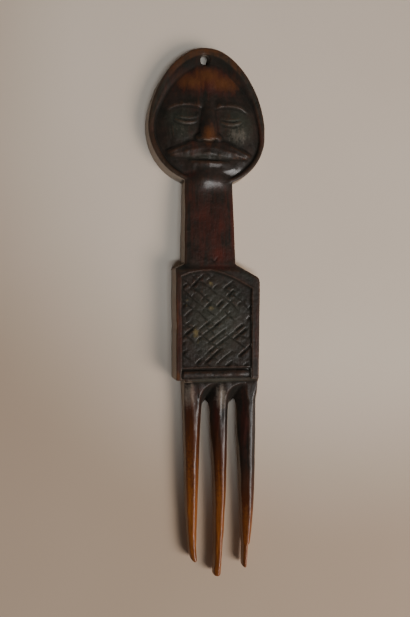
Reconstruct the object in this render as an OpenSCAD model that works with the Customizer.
// Carved wooden comb with a head-shaped finial and three long tines.
// It lies on its back: X is across, Y runs from the tips to the crown, Z is up from the table.
// The real comb is cut from one board, so the parts below meet face to face, with no joint.

/* [Head] */
// Width of the head at its widest line
head_w = 41; // [38:0.1:44]
// Height of the crown, from the widest line up to the top
crown_h = 25.7; // [23:0.1:30]
// Height of the jaw, from the widest line down to its lowest point
jaw_h = 20.5; // [18:0.1:24]
// How much narrower the crown is drawn in, as a share of the width
crown_taper_share = 0.12; // [0.04:0.01:0.18]
// Thickness of the plate behind the face
plate_t = 4.2; // [3.4:0.1:5]
// Width of the rim's flat top at the crown
rim_w = 2.1; // [1.8:0.1:2.4]
// Width of the rim's flat top at the jaw
rim_low_w = 1.3; // [1:0.1:2.4]
// Width of the slope from the rim down to the plate
rim_slope_w = 0.6; // [0.4:0.1:0.9]
// Height of the rim above the plate
rim_rise = 1.8; // [1.2:0.1:2.4]
// Extra height of the rim at the jaw
jaw_rise = 1.3; // [0.2:0.1:1.5]

/* [Hanging hole] */
// Radius of the hole for a cord
hole_r = 1.45; // [1:0.05:1.6]
// Sideways place of the hole
hole_x = -0.8; // [-2:0.1:2]
// Clearance between the hole and the foot of the rim
hole_gap = 0.25; // [0.2:0.05:0.6]

/* [Face] */
// Clearance between the face and the foot of the rim
face_gap = 0.4; // [0.2:0.1:0.8]
// Height of the face's even swell above the plate
dome_t = 2.7; // [1.6:0.1:3]
// Height of the brow ridge
brow_t = 1.2; // [0.4:0.1:1.4]
// Height of the nose at its tip
nose_t = 2.2; // [1.4:0.1:2.6]
// Depth of the eye sockets
socket_d = 1.3; // [0.6:0.1:1.5]
// Height of the closed eyelids
lid_t = 1.3; // [0.6:0.1:1.5]
// Height of the lips
lip_t = 0.8; // [0.4:0.1:1.2]
// Height of the moustache
moustache_t = 1.1; // [0.3:0.1:1.3]
// Height of the cheeks
cheek_t = 0.8; // [0.3:0.1:1.2]
// Depth of the slits under the lids and between the lips
slit_d = 0.4; // [0.2:0.1:0.6]

/* [Neck] */
// Length of the neck, from the jaw's lowest point to the block
neck_l = 26.4; // [20:0.1:34]
// Width of the neck under the jaw
neck_top_w = 15.8; // [13:0.1:17]
// Width of the neck at the block
neck_low_w = 17.5; // [15:0.1:19]
// Sideways place of the neck's middle
neck_x = 0.4; // [0:0.1:1.4]
// Thickness of the neck under the jaw
neck_top_t = 7.2; // [6:0.1:7.5]
// Thickness of the neck at the block
neck_low_t = 9; // [8:0.1:9.2]
// Width of the neck's bevelled edges
neck_bevel_w = 1.5; // [0.8:0.1:2.4]

/* [Block] */
// Length of the block, from the neck to the tines
block_l = 38.8; // [35:0.1:46]
// Thickness of the block with its border
block_t = 10; // [9.8:0.1:12]
// Reach of the block to the left, at its shoulder
block_left_top = 11.6; // [11:0.1:13]
// Reach of the block to the left, at the tines
block_left_low = 11.5; // [10.8:0.1:13]
// Reach of the block to the right, at its shoulder
block_right_top = 17.6; // [17.3:0.1:19.5]
// Reach of the block to the right, at the tines
block_right_low = 17.3; // [17.2:0.1:19]
// Fall of the left shoulder, from the neck to the corner
shoulder_left_drop = 1.4; // [0.6:0.1:3]
// Fall of the right shoulder, from the neck to the corner
shoulder_right_drop = 4; // [2:0.1:5]
// Width of the cut across the right shoulder's corner
corner_w = 1.5; // [0.8:0.1:2.2]
// Width of the bevel along both shoulders
shoulder_bevel_w = 1.1; // [0.5:0.1:1.2]
// Width of the softened edges of the whole comb
edge_w = 0.7; // [0.4:0.1:0.8]

/* [Panel] */
// Depth of the panel's recess below the border
panel_d = 1.4; // [1:0.1:1.8]
// Width of the border's left leg
border_left_w = 2.1; // [1.6:0.1:3.2]
// Width of the border's right leg
border_right_w = 2.6; // [2:0.1:3.6]
// Sideways place of the gable's peak
peak_x = 1; // [-1:0.1:4]
// Fall from the neck to the gable's peak
peak_drop = 2; // [1.6:0.1:3]
// Fall from the neck to the gable's left foot
gable_left_drop = 3.8; // [3.2:0.1:5]
// Fall from the neck to the gable's right foot
gable_right_drop = 8.1; // [7:0.1:10]
// Width of the channel round the hatched field and the bar
channel_w = 0.6; // [0.4:0.1:0.9]
// Height of the hatched field above the recess
hatch_rise = 1.1; // [0.9:0.1:1.3]
// Depth of the hatch's cuts
cut_d = 0.6; // [0.3:0.05:0.8]
// Width of the hatch's cuts at the surface
cut_w = 0.9; // [0.5:0.05:1.2]
// Distance between the long cuts
long_pitch = 2.8; // [2.2:0.1:4]
// Slope of the long cuts, in degrees, rising to the right
long_angle = 42; // [30:1:55]
// Distance between the short cross cuts
cross_pitch = 2.3; // [1.8:0.1:4]
// Slope of the cross cuts, in degrees, falling to the right
cross_angle = 38; // [25:1:50]
// Width of the bar under the hatched field, along the comb
bar_w = 2.7; // [2.2:0.1:4]
// Rise of the bar above the recess
bar_rise = 1.3; // [0.8:0.1:1.4]
// Width of the groove between the bar and the hatched field
groove_w = 1.8; // [1:0.1:2.4]

/* [Tines] */
// Length of the left, middle and right tine, from the block
tine_l = [62.9, 68.6, 66.5]; // [50:0.1:80]
// Places of the tines' middles at their roots
root_x = [-5.1, 4.6, 14.35]; // [-6:0.05:16]
// Places of the tines' middles at their tips
tip_x = [-4.7, 3.9, 13.4]; // [-6:0.05:16]
// Widths of the tines at their roots
root_w = [5.9, 5.2, 5.7]; // [4.8:0.1:6.2]
// Widths of the tines where their points begin
tip_w = [2.6, 2.4, 1.9]; // [1.4:0.1:3]
// Widths of the points' ends
end_w = [0.9, 2, 0.9]; // [0.6:0.1:2.2]
// Lengths of the points
point_l = [4.2, 0.9, 7.8]; // [0.5:0.1:9]
// Length of the step down to each point
step_l = 0.7; // [0.4:0.1:1]
// Thickness of the tines at their roots
root_t = 7.6; // [6.8:0.1:7.8]
// Thickness of the tines where their points begin
tip_t = 4.4; // [4:0.1:4.8]
// Height of the tines' middle above the table, at their roots
tine_z = 4.3; // [4.1:0.1:4.8]
// Height of the tines' middle above the table, where their points begin
tip_z = 3.4; // [3:0.1:3.8]

/* [Yoke] */
// Distance from the block to the tops of the gaps, on the front
crotch_drop = 0.9; // [0.6:0.1:1.5]
// Radius of the arch at the top of each gap
crotch_r = 6.5; // [5.5:0.1:8]
// How far the gaps' ends run back from the front to the rear
crotch_lean = 4.5; // [3:0.1:6]
// Length of the ledge that steps from the block to the tines
ledge_l = 1.7; // [1:0.1:3]

/* [Hidden] */
$fn = 64;

// Colours of the oiled wood, from the dark patina to the honey-coloured worn tips
patina = "#33241c";
patina_black = "#2a2420";
patina_red = "#43251c";
worn_edge = "#4c3423";
honey = "#7d4c26";

// How far a cutting solid runs past what it cuts
overrun = 1;

// Places along the comb: the origin is at the middle of its whole length
comb_l = crown_h + jaw_h + neck_l + block_l + tine_l[1];
widest_y = comb_l / 2 - crown_h;
jaw_y = widest_y - jaw_h;
block_y = jaw_y - neck_l;
root_y = block_y - block_l;

// The value a share of the way from a to b, for numbers and for points
function mix(a, b, share) = a + (b - a) * share;
// 0 below a, 1 above b, and a smooth rise between them
function rise(a, b, t) = let (u = min(max((t - a) / (b - a), 0), 1)) u * u * (3 - 2 * u);
// A smooth mound of height 1 that fades over rx and ry
function mound(x, y, rx, ry) = exp(-pow(x / rx, 2) - pow(y / ry, 2));

// Closed solid through a list of rings, each with the same number of points
module loft(rings) {
    n = len(rings[0]);
    last = len(rings) - 1;
    sides = [
        for (j = [0 : last - 1], i = [0 : n - 1])
            let (a = j * n + i, b = j * n + (i + 1) % n)
                each [[a, b + n, b], [a, a + n, b + n]]
    ];
    foot = [for (i = [0 : n - 1]) i];
    top = [for (i = [n - 1 : -1 : 0]) last * n + i];
    polyhedron(points = [for (r = rings) each r], faces = concat([foot], sides, [top]));
}

// Closed hoop through a list of sections, the last of which meets the first
module hoop_loft(sections) {
    n = len(sections[0]);
    m = len(sections);
    sides = [
        for (j = [0 : m - 1], i = [0 : n - 1])
            let (
                a = j * n + i,
                b = j * n + (i + 1) % n,
                c = ((j + 1) % m) * n + i,
                d = ((j + 1) % m) * n + (i + 1) % n
            )
            each [[a, d, b], [a, c, d]]
    ];
    polyhedron(points = [for (s = sections) each s], faces = sides);
}

// A flat outline raised to a height, as a ring for loft
function at_height(outline, z) = [for (p = outline) [p.x, p.y, z]];

// The head

outline_points = 72;
hole_y = widest_y + crown_h - rim_w - rim_slope_w - hole_gap - hole_r;

// A point of the egg-shaped outline at an angle, drawn in by an inset
function head_point(angle, inset) = [
    (head_w / 2 - inset) * cos(angle) * (1 - crown_taper_share * max(sin(angle), 0)),
    widest_y + ((sin(angle) > 0 ? crown_h : jaw_h) - inset) * sin(angle)
];
function head_outline(inset) =
    [for (i = [0 : outline_points - 1]) head_point(i * 360 / outline_points, inset)];

module head_plate() {
    color(patina)
        difference() {
            loft([
                at_height(head_outline(edge_w), 0),
                at_height(head_outline(0), edge_w),
                at_height(head_outline(0), plate_t)
            ]);
            translate([hole_x, hole_y, -overrun])
                cylinder(r = hole_r, h = plate_t + 2 * overrun);
        }
}

// Width of the rim's flat top at an angle round the head
function rim_top_w(angle) = mix(rim_low_w, rim_w, (1 + sin(angle)) / 2);

// The rim's section at an angle round the head: it stands higher along the jaw
function rim_section(angle) =
    let (
        top = plate_t + rim_rise + jaw_rise * max(-sin(angle), 0),
        width = rim_top_w(angle),
        steps = [
            [0, plate_t], [0, top - edge_w], [edge_w, top], [width, top], [width + rim_slope_w, plate_t]
        ]
    )
    [for (s = steps) let (p = head_point(angle, s[0])) [p.x, p.y, s[1]]];

module head_rim() {
    color(worn_edge)
        hoop_loft([for (i = [0 : outline_points - 1]) rim_section(i * 360 / outline_points)]);
}

// The face fills the hollow inside the rim, up to the hanging hole. It is a generic one on
// drawing-book proportions: the brow, the foot of the nose and the chin are a third of the
// head apart, and the head is five eyes wide
chin_y = jaw_y + rim_low_w + rim_slope_w + face_gap;
face_top_y = hole_y - hole_r - hole_gap;
face_h = face_top_y - chin_y;
face_w = head_w - 2 * (rim_top_w(0) + rim_slope_w + face_gap);
eye_w = face_w / 5;
brow_share = 0.635;
eye_share = 0.53;
cheek_share = 0.4;
nose_share = 0.33;
moustache_share = 0.265;
mouth_share = 0.165;
chin_share = 0.045;
swell_share = 2.6;
face_spokes = 60;
face_rings = 20;

function brow_height(x, v) =
    let (
        up = (v - brow_share) * face_h + 0.23 * eye_w * pow((abs(x) - 0.95 * eye_w) / eye_w, 2),
        fade = rise(0.05, 0.5, abs(x) / eye_w) * (1 - rise(1.5, 2.15, abs(x) / eye_w))
    )
    brow_t * fade * exp(-pow(up / (up > 0 ? 0.36 * eye_w : 0.12 * eye_w), 2));
function eye_height(x, v) =
    let (
        across = abs(x) - 1.02 * eye_w,
        up = (v - eye_share) * face_h,
        slit = up + 0.12 * eye_w * (1 - pow(2 * across / eye_w, 2))
    )
    lid_t * mound(across, up, 0.5 * eye_w, 0.28 * eye_w)
        - socket_d * mound(across, up - 0.12 * eye_w, 0.95 * eye_w, 0.46 * eye_w)
        - slit_d * mound(across, slit, 0.45 * eye_w, 0.07 * eye_w);
function cheek_height(x, v) =
    cheek_t * mound(abs(x) - 1.4 * eye_w, (v - cheek_share) * face_h, 0.8 * eye_w, 0.15 * face_h);
function nose_height(x, v) =
    let (
        down = (brow_share - v) / (brow_share - nose_share),
        half_w = eye_w * (0.26 + 0.24 * max(down, 0)),
        bridge = nose_t * (0.5 + 0.5 * max(down, 0)) * exp(-pow(abs(x) / half_w, 2)),
        wing_up = (v - nose_share) * face_h - 0.12 * eye_w,
        wing = mound(abs(x) - 0.4 * eye_w, wing_up, 0.22 * eye_w, 0.22 * eye_w)
    )
    bridge * rise(-0.25, 0.15, down) * (1 - rise(0.96, 1.08, down)) + 0.3 * nose_t * wing;
function mouth_height(x, v) =
    let (up = (v - mouth_share) * face_h)
    lip_t * mound(x, up + 0.15 * eye_w, 0.7 * eye_w, 0.15 * eye_w)
        - slit_d * mound(x, up, 0.8 * eye_w, 0.06 * eye_w);
function moustache_height(x, v) =
    let (
        droop = 0.09 * eye_w * pow(x / eye_w, 2),
        half_w = eye_w * mix(0.34, 0.16, rise(0.6, 2.4, abs(x) / eye_w))
    )
    moustache_t * mound(0, (v - moustache_share) * face_h + droop, 1, half_w);
function chin_height(x, v) =
    lip_t * mound(x, (v - chin_share) * face_h, 0.95 * eye_w, 0.36 * eye_w);

// Height of the face above the plate: its even swell, with the features fading in past the
// edge. Its reach is 0 in the middle and 1 at the edge
function face_height(x, y, reach) =
    let (v = (y - chin_y) / face_h, dome = sqrt(1 - pow(reach, swell_share)))
    dome_t * dome + rise(0, 0.5, dome) * (
        brow_height(x, v) + eye_height(x, v) + cheek_height(x, v)
            + max(nose_height(x, v), moustache_height(x, v))
            + mouth_height(x, v) + chin_height(x, v)
    );

// A point of the face on ring k of the outline, where the last ring lies on the plate
function face_point(angle, k) =
    let (
        reach = k / face_rings,
        taper = 1 - crown_taper_share * max(sin(angle), 0),
        half_h = sin(angle) > 0 ? face_top_y - widest_y : widest_y - chin_y,
        x = face_w / 2 * taper * reach * cos(angle),
        y = widest_y + half_h * reach * sin(angle)
    )
    [x, y, plate_t + (k == face_rings ? 0 : face_height(x, y, reach))];

module face() {
    color(patina_red)
        loft([
            for (k = [face_rings : -1 : 1])
                [for (i = [0 : face_spokes - 1]) face_point(i * 360 / face_spokes, k)]
        ]);
}

// The neck

// Bevelled bar section at a place along the comb
function neck_section(y, w, t) = [
    [neck_x - w / 2 + edge_w, y, 0],
    [neck_x - w / 2, y, edge_w],
    [neck_x - w / 2, y, t - neck_bevel_w],
    [neck_x - w / 2 + neck_bevel_w, y, t],
    [neck_x + w / 2 - neck_bevel_w, y, t],
    [neck_x + w / 2, y, t - neck_bevel_w],
    [neck_x + w / 2, y, edge_w],
    [neck_x + w / 2 - edge_w, y, 0]
];

module neck() {
    color(patina_red)
        difference() {
            loft([
                neck_section(block_y, neck_low_w, neck_low_t),
                neck_section(widest_y - jaw_h / 2, neck_top_w, neck_top_t)
            ]);
            translate([0, 0, -overrun])
                linear_extrude(neck_low_t + 2 * overrun)
                    polygon(head_outline(0));
        }
}

// The block

recess_z = block_t - panel_d;

// Outline of the block, drawn in at the sides and lowered at the shoulders
function block_outline(side, shoulder) = [
    [neck_x - neck_low_w / 2, block_y - shoulder],
    [side - block_left_top, block_y - shoulder_left_drop - shoulder],
    [side - block_left_low, root_y],
    [block_right_low - side, root_y],
    [block_right_top - side, block_y - shoulder_right_drop - corner_w - shoulder],
    [block_right_top - side - corner_w, block_y - shoulder_right_drop - shoulder],
    [neck_x + neck_low_w / 2, block_y - shoulder]
];

module block() {
    color(patina)
        loft([
            at_height(block_outline(edge_w, edge_w), 0),
            at_height(block_outline(0, 0), edge_w),
            at_height(block_outline(0, 0), recess_z)
        ]);
}

// Sides of the panel's recess at a place along the comb
function recess_left(y) =
    border_left_w - mix(block_left_low, block_left_top, (y - root_y) / block_l);
function recess_right(y) =
    mix(block_right_low, block_right_top, (y - root_y) / block_l) - border_right_w;

// Outline of the recess down to low_y, or of what stands in it behind a channel
function panel_outline(inset, low_y) =
    let (left_y = block_y - gable_left_drop, right_y = block_y - gable_right_drop)
    [
        [recess_left(left_y) + inset, left_y - inset],
        [recess_left(low_y) + inset, low_y],
        [recess_right(low_y) - inset, low_y],
        [recess_right(right_y) - inset, right_y - inset],
        [peak_x, block_y - peak_drop - inset]
    ];

module panel_border() {
    color(worn_edge)
        difference() {
            loft([
                at_height(block_outline(0, 0), recess_z),
                at_height(block_outline(0, 0), block_t - edge_w),
                at_height(block_outline(edge_w, shoulder_bevel_w), block_t)
            ]);
            translate([0, 0, recess_z - overrun])
                linear_extrude(panel_d + 2 * overrun)
                    polygon(panel_outline(0, root_y - overrun));
        }
}

// One V-shaped cut along X, sunk into the surface at z = 0
module v_cut(length) {
    mouth = cut_w / 2 * (1 + overrun / cut_d);
    rotate([90, 0, 90])
        linear_extrude(length, center = true)
            polygon([[0, -cut_d], [mouth, overrun], [-mouth, overrun]]);
}

// A field of parallel cuts at an angle, wide enough to cross the whole panel
module cut_field(pitch, angle) {
    field_w = block_l + block_right_top;
    count = ceil(field_w / 2 / pitch);
    rotate([0, 0, angle])
        for (i = [-count : count])
            translate([0, i * pitch, 0])
                v_cut(2 * field_w);
}

bar_low_y = root_y + channel_w;
bar_top_y = bar_low_y + bar_w;
hatch_low_y = bar_top_y + groove_w;

module hatch_field() {
    color(patina_black)
        difference() {
            translate([0, 0, recess_z])
                linear_extrude(hatch_rise)
                    polygon(panel_outline(channel_w, hatch_low_y));
            translate([peak_x, (hatch_low_y + block_y - peak_drop) / 2, recess_z + hatch_rise]) {
                cut_field(long_pitch, long_angle);
                cut_field(cross_pitch, -cross_angle);
            }
        }
}

// The bar's top is a low arch, fuller than a half ellipse
bar_steps = 8;
arch_shares = [for (i = [0 : bar_steps]) let (a = i * 180 / bar_steps) [cos(a), pow(sin(a), 0.6)]];

module cross_bar() {
    left = recess_left(bar_low_y) + channel_w;
    right = recess_right(bar_low_y) - channel_w;
    color(patina_black)
        translate([left, (bar_low_y + bar_top_y) / 2, recess_z])
            rotate([90, 0, 90])
                linear_extrude(right - left)
                    polygon([for (a = arch_shares) [bar_w / 2 * a.x, bar_rise * a.y]]);
}

// The yoke

front_z = tine_z + root_t / 2;
back_z = tine_z - root_t / 2;
lean = atan(crotch_lean / root_t);

// Sides of the gap to the right of tine k
function gap_left(k) = root_x[k] + root_w[k] / 2;
function gap_right(k) = root_x[k + 1] - root_w[k + 1] / 2;
// How far the arch of a gap runs down before its side is straight
function arch_fall(k) =
    let (flat = crotch_r - gap_right(k) + gap_left(k))
    sqrt(crotch_r * crotch_r - flat * flat) / cos(lean);

yoke_l = crotch_drop + max(arch_fall(0), arch_fall(1)) + crotch_lean + edge_w;
yoke_y = root_y - yoke_l;

// The gap's end is a leaning arch that rises from the left tine's side to the right tine's
module gap_cut(k) {
    gap = gap_right(k) - gap_left(k);
    depth = 4 * root_t;
    translate([gap_left(k), root_y - crotch_drop - arch_fall(k), front_z])
        rotate([-lean, 0, 0]) {
            intersection() {
                translate([crotch_r, 0, 0])
                    cylinder(r = crotch_r, h = depth, center = true);
                translate([0, -overrun, -depth / 2])
                    cube([gap, crotch_r + overrun, depth]);
            }
            translate([0, -2 * yoke_l, -depth / 2])
                cube([gap, 2 * yoke_l, depth]);
        }
}

module tine_yoke() {
    left = root_x[0] - root_w[0] / 2;
    right = root_x[2] + root_w[2] / 2;
    ledge_z = (front_z + block_t) / 2;
    color(patina)
        difference() {
            translate([left, 0, 0])
                rotate([90, 0, 90])
                    linear_extrude(right - left)
                        polygon([
                            [root_y, back_z],
                            [root_y, ledge_z],
                            [root_y - ledge_l, front_z],
                            [yoke_y, front_z],
                            [yoke_y, back_z]
                        ]);
            gap_cut(0);
            gap_cut(1);
        }
}

// The tines

// Sections in half widths and half thicknesses: nearly square at the root, then with a broad
// bevel on the left of the front facet, which narrows to a ridge towards the tip
root_shares = [[-0.8, -1], [-1, -0.84], [-1, 0.84], [-0.8, 1], [0.8, 1], [1, 0.84], [1, -0.84], [0.8, -1]];
body_shares = [[-0.5, -1], [-1, -0.5], [-1, 0.3], [-0.3, 1], [0.5, 1], [1, 0.3], [1, -0.5], [0.5, -1]];
ridge_shares = [[-0.5, -1], [-1, -0.5], [-1, 0.3], [0.15, 1], [0.4, 1], [1, 0.3], [1, -0.5], [0.5, -1]];
function section_share(i, s) =
    mix(mix(root_shares[i], body_shares[i], rise(0, 0.15, s)), ridge_shares[i], rise(0.1, 0.6, s));

// How late each tine grows thin: 1 is an even taper
taper_shares = [1, 1.1, 3];
station_shares = [0, 0.12, 0.3, 0.5, 0.7, 0.82];
function body_width(k, s) = mix(root_w[k], tip_w[k], pow(s, taper_shares[k]));

function tine_section(k, s, w, t) =
    let (
        x = mix(root_x[k], tip_x[k], s * s),
        y = yoke_y - s * (tine_l[k] - yoke_l),
        z = mix(tine_z, tip_z, s)
    )
    [for (i = [0 : len(root_shares) - 1])
        let (c = section_share(i, s)) [x + c.x * w / 2, y, z + c.y * t / 2]];

module tine(k) {
    point_at = 1 - point_l[k] / (tine_l[k] - yoke_l);
    step_at = point_at - step_l / (tine_l[k] - yoke_l);
    body_stations = concat([for (s = station_shares) if (s < step_at) s], [step_at]);
    point_stations = [point_at, mix(point_at, 1, 0.6), 1];
    blunt = end_w[k] / tip_w[k];
    sections = concat(
        [for (s = body_stations) tine_section(k, s, body_width(k, s), mix(root_t, tip_t, s))],
        [
            tine_section(k, point_stations[0], tip_w[k], tip_t),
            tine_section(k, point_stations[1], mix(tip_w[k], end_w[k], 0.4), tip_t * mix(1, blunt, 0.3)),
            tine_section(k, point_stations[2], end_w[k], tip_t * mix(1, blunt, 0.7))
        ]
    );
    loft([for (i = [len(sections) - 1 : -1 : 0]) sections[i]]);
}

module tine_left() {
    color(honey)
        tine(0);
}

module tine_middle() {
    color(honey)
        tine(1);
}

module tine_right() {
    color(worn_edge)
        tine(2);
}

head_plate();
head_rim();
face();
neck();
block();
panel_border();
hatch_field();
cross_bar();
tine_yoke();
tine_left();
tine_middle();
tine_right();
